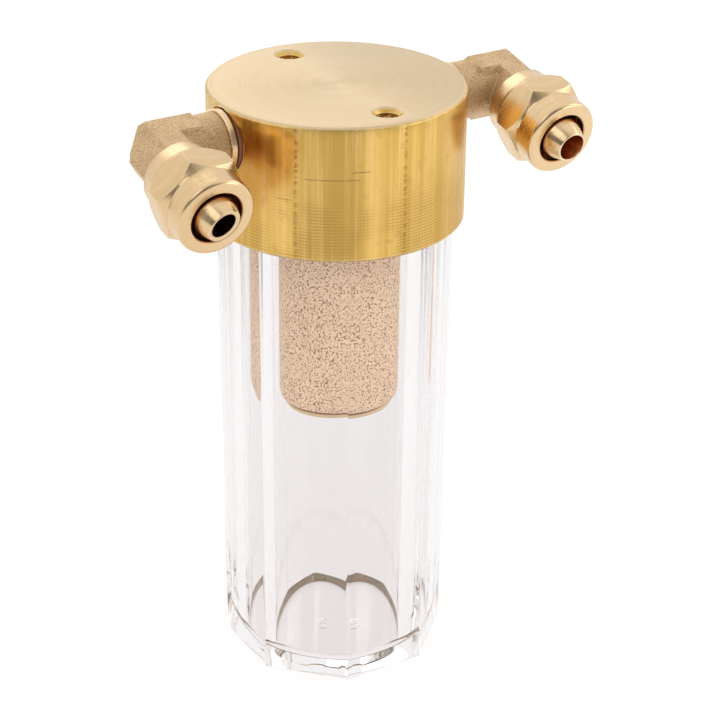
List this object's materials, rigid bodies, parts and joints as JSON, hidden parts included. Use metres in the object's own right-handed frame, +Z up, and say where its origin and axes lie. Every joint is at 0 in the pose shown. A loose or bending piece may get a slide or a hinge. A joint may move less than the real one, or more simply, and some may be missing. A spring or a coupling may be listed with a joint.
{
  "type": "inline bowl filter",
  "caption": "Inline filter with a turned brass head, elbow hose fittings, a clear faceted bowl and a sintered bronze element inside.",
  "frame": {"origin": "centre of the bowl's flat underside", "axes": "+Z up along the bowl's axis to the head; the two ports lie along X, inlet on -X and outlet on +X; both hose tails leave towards -Y and dip 13.2 degrees"},
  "size_m": [0.1134, 0.0604, 0.146],
  "materials": {
    "bar_brass": "turned bar, bright",
    "forged_brass": "forged, fine grain",
    "turned_brass": "fine turned",
    "sintered_bronze": "sintered, porous",
    "clear_plastic": "clear, polished",
    "black_rubber": "matt",
    "red_fibre": "matt pressed fibre"
  },
  "bodies": {
    "body": {"head": "bar_brass", "element_stud": "turned_brass", "elbow_left": "forged_brass", "elbow_right": "forged_brass", "port_seal_left": "red_fibre", "port_seal_right": "red_fibre"},
    "bowl_ring": {"bowl_oring": "black_rubber"},
    "bowl": {"bowl": "clear_plastic"},
    "element": {"element": "sintered_bronze", "element_cap": "turned_brass", "element_gasket": "red_fibre"},
    "stud_nut": {"stud_nut": "turned_brass"},
    "nut_left": {"union_nut_left": "turned_brass"},
    "nut_right": {"union_nut_right": "turned_brass"}
  },
  "joints": [
    {"name": "bowl_drop", "type": "slide", "parent": "body", "child": "bowl_ring", "axis": [0, 0, -1], "range_m": [0, 0.01]},
    {"name": "bowl_unscrew", "type": "hinge", "parent": "bowl_ring", "child": "bowl", "pos_m": [0, 0, 0.119], "axis": [0, 0, -1], "range_deg": [0, 1800.01]},
    {"name": "element_drop", "type": "slide", "parent": "body", "child": "element", "axis": [0, 0, -1], "range_m": [0, 0.00375]},
    {"name": "stud_nut_unscrew", "type": "hinge", "parent": "element", "child": "stud_nut", "pos_m": [0, 0, 0.0661], "axis": [0, 0, -1], "range_deg": [0, 1080.01]},
    {"name": "nut_left_turn", "type": "hinge", "parent": "body", "child": "nut_left", "pos_m": [-0.0458, 0, 0.1377], "axis": [0, -0.9736, -0.2284], "continuous": true},
    {"name": "nut_right_turn", "type": "hinge", "parent": "body", "child": "nut_right", "pos_m": [0.0458, 0, 0.1377], "axis": [0, -0.9736, -0.2284], "continuous": true}
  ],
  "couplings": [
    {"joint": "bowl_unscrew", "follows": "bowl_drop", "rad_per_m": 3141.6},
    {"joint": "stud_nut_unscrew", "follows": "element_drop", "rad_per_m": 5026.5}
  ]
}
